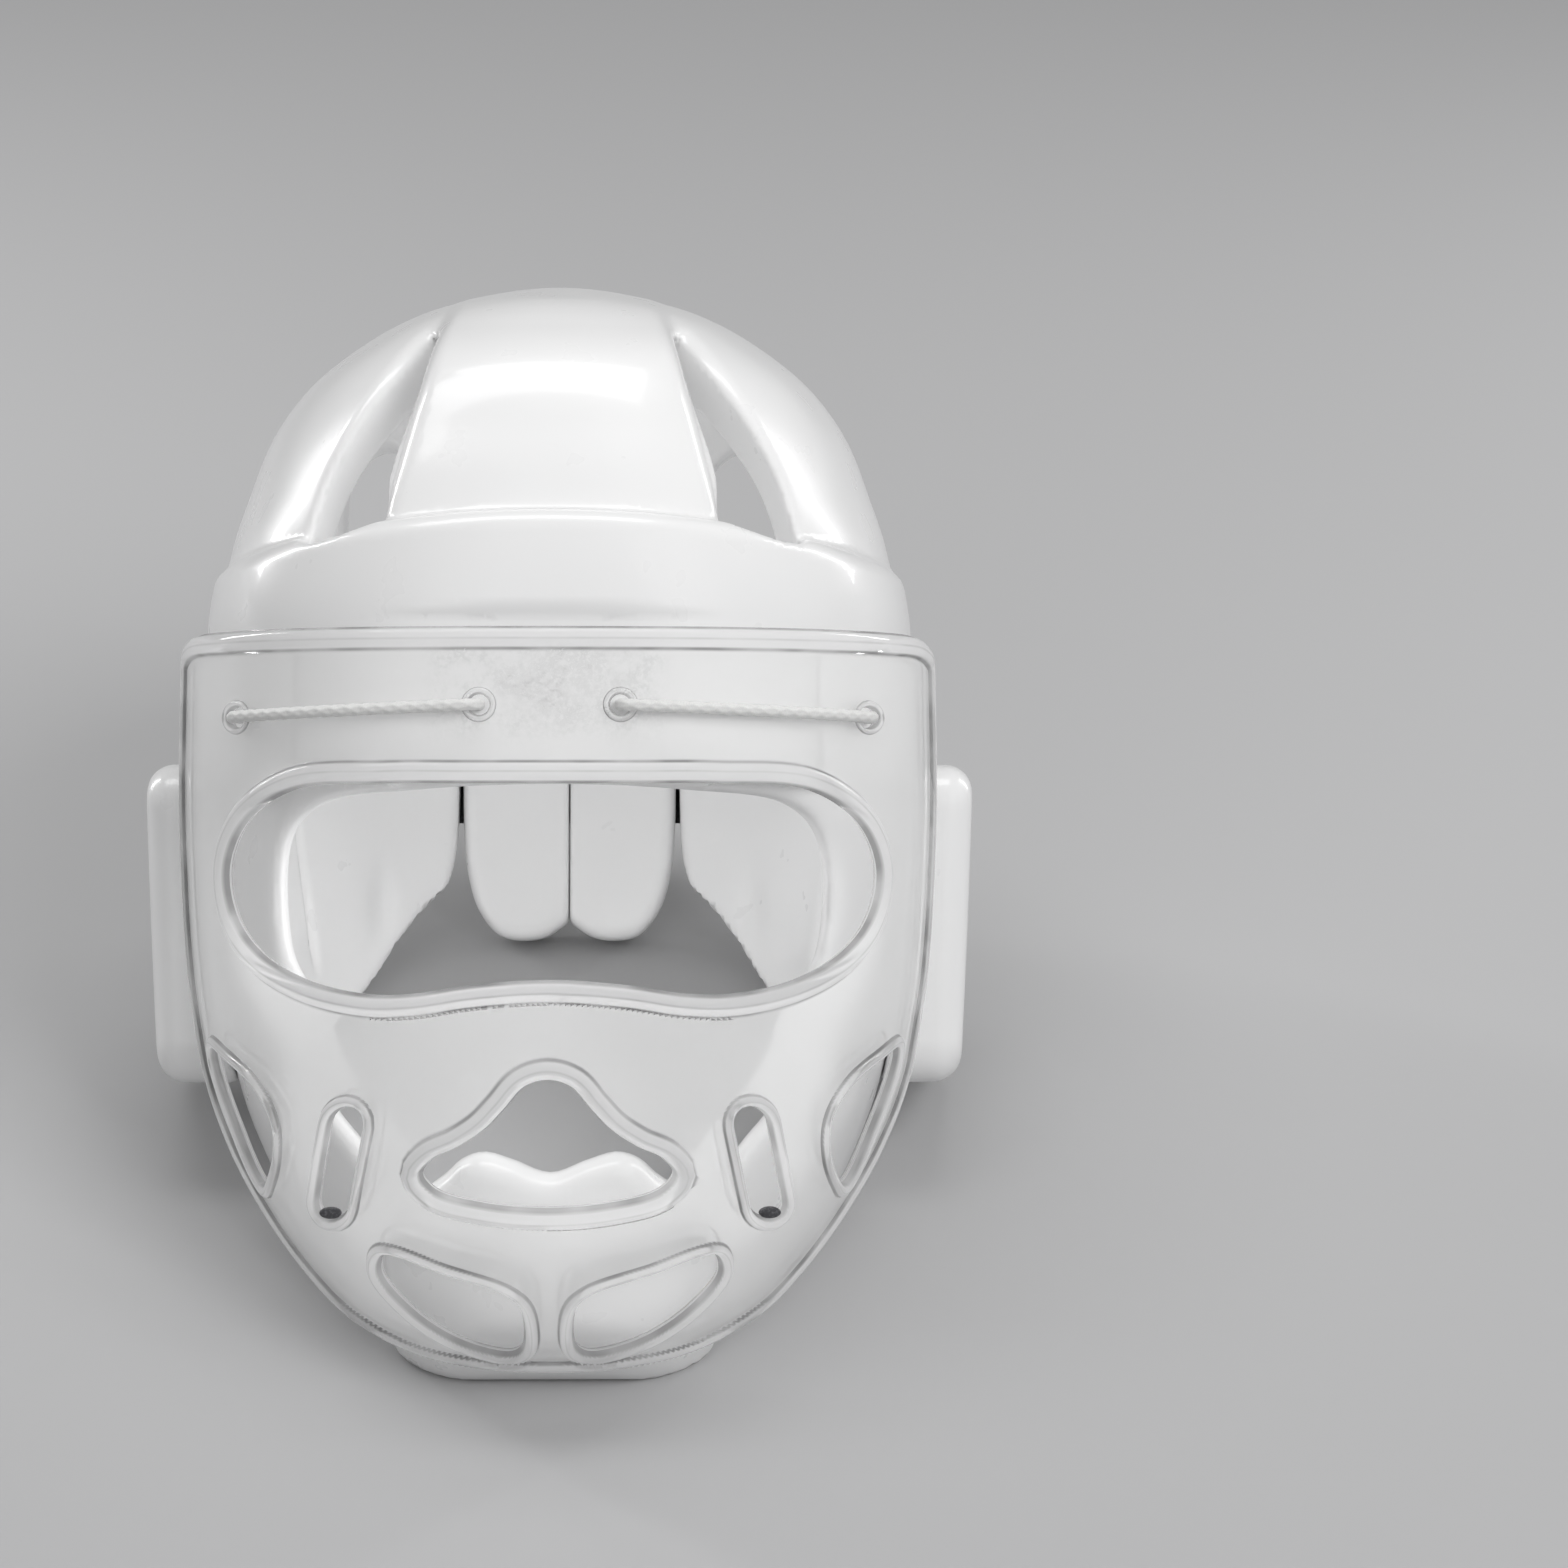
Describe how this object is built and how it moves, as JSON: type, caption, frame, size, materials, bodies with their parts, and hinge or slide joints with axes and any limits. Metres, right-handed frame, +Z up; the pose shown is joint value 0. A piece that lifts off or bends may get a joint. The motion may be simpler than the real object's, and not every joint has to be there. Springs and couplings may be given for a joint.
{
  "type": "karate head guard with face shield",
  "caption": "Dipped foam head guard with a raised crown, ear pads, chin pad and nape lobes, and a clear moulded full face shield laced to its brow.",
  "frame": {"origin": "centre of the bounding box at the surface the guard lies on", "axes": "+Z up from the surface, -Y the way the face looks, tipped back, +X to the viewer's right from the front"},
  "size_m": [0.2216, 0.3114, 0.2266],
  "materials": {
    "foam_skin": "glossy white vinyl dip over soft foam",
    "clear_shield": "clear moulded plastic with polished rolled rims",
    "elastic": "woven black elastic",
    "lace_cord": "braided white cord",
    "stud": "dark satin"
  },
  "bodies": {
    "root": {"crown": "foam_skin", "brow_band": "foam_skin", "side_panel_left": "foam_skin", "side_panel_right": "foam_skin", "ear_pad_left": "foam_skin", "ear_pad_right": "foam_skin", "rear_lobe_left": "foam_skin", "rear_lobe_right": "foam_skin", "chin_pad": "foam_skin", "rear_strap": "elastic", "face_shield": "clear_shield", "lace_left": "lace_cord", "lace_right": "lace_cord", "cheek_rivet_left": "stud", "cheek_rivet_right": "stud"}
  },
  "joints": []
}
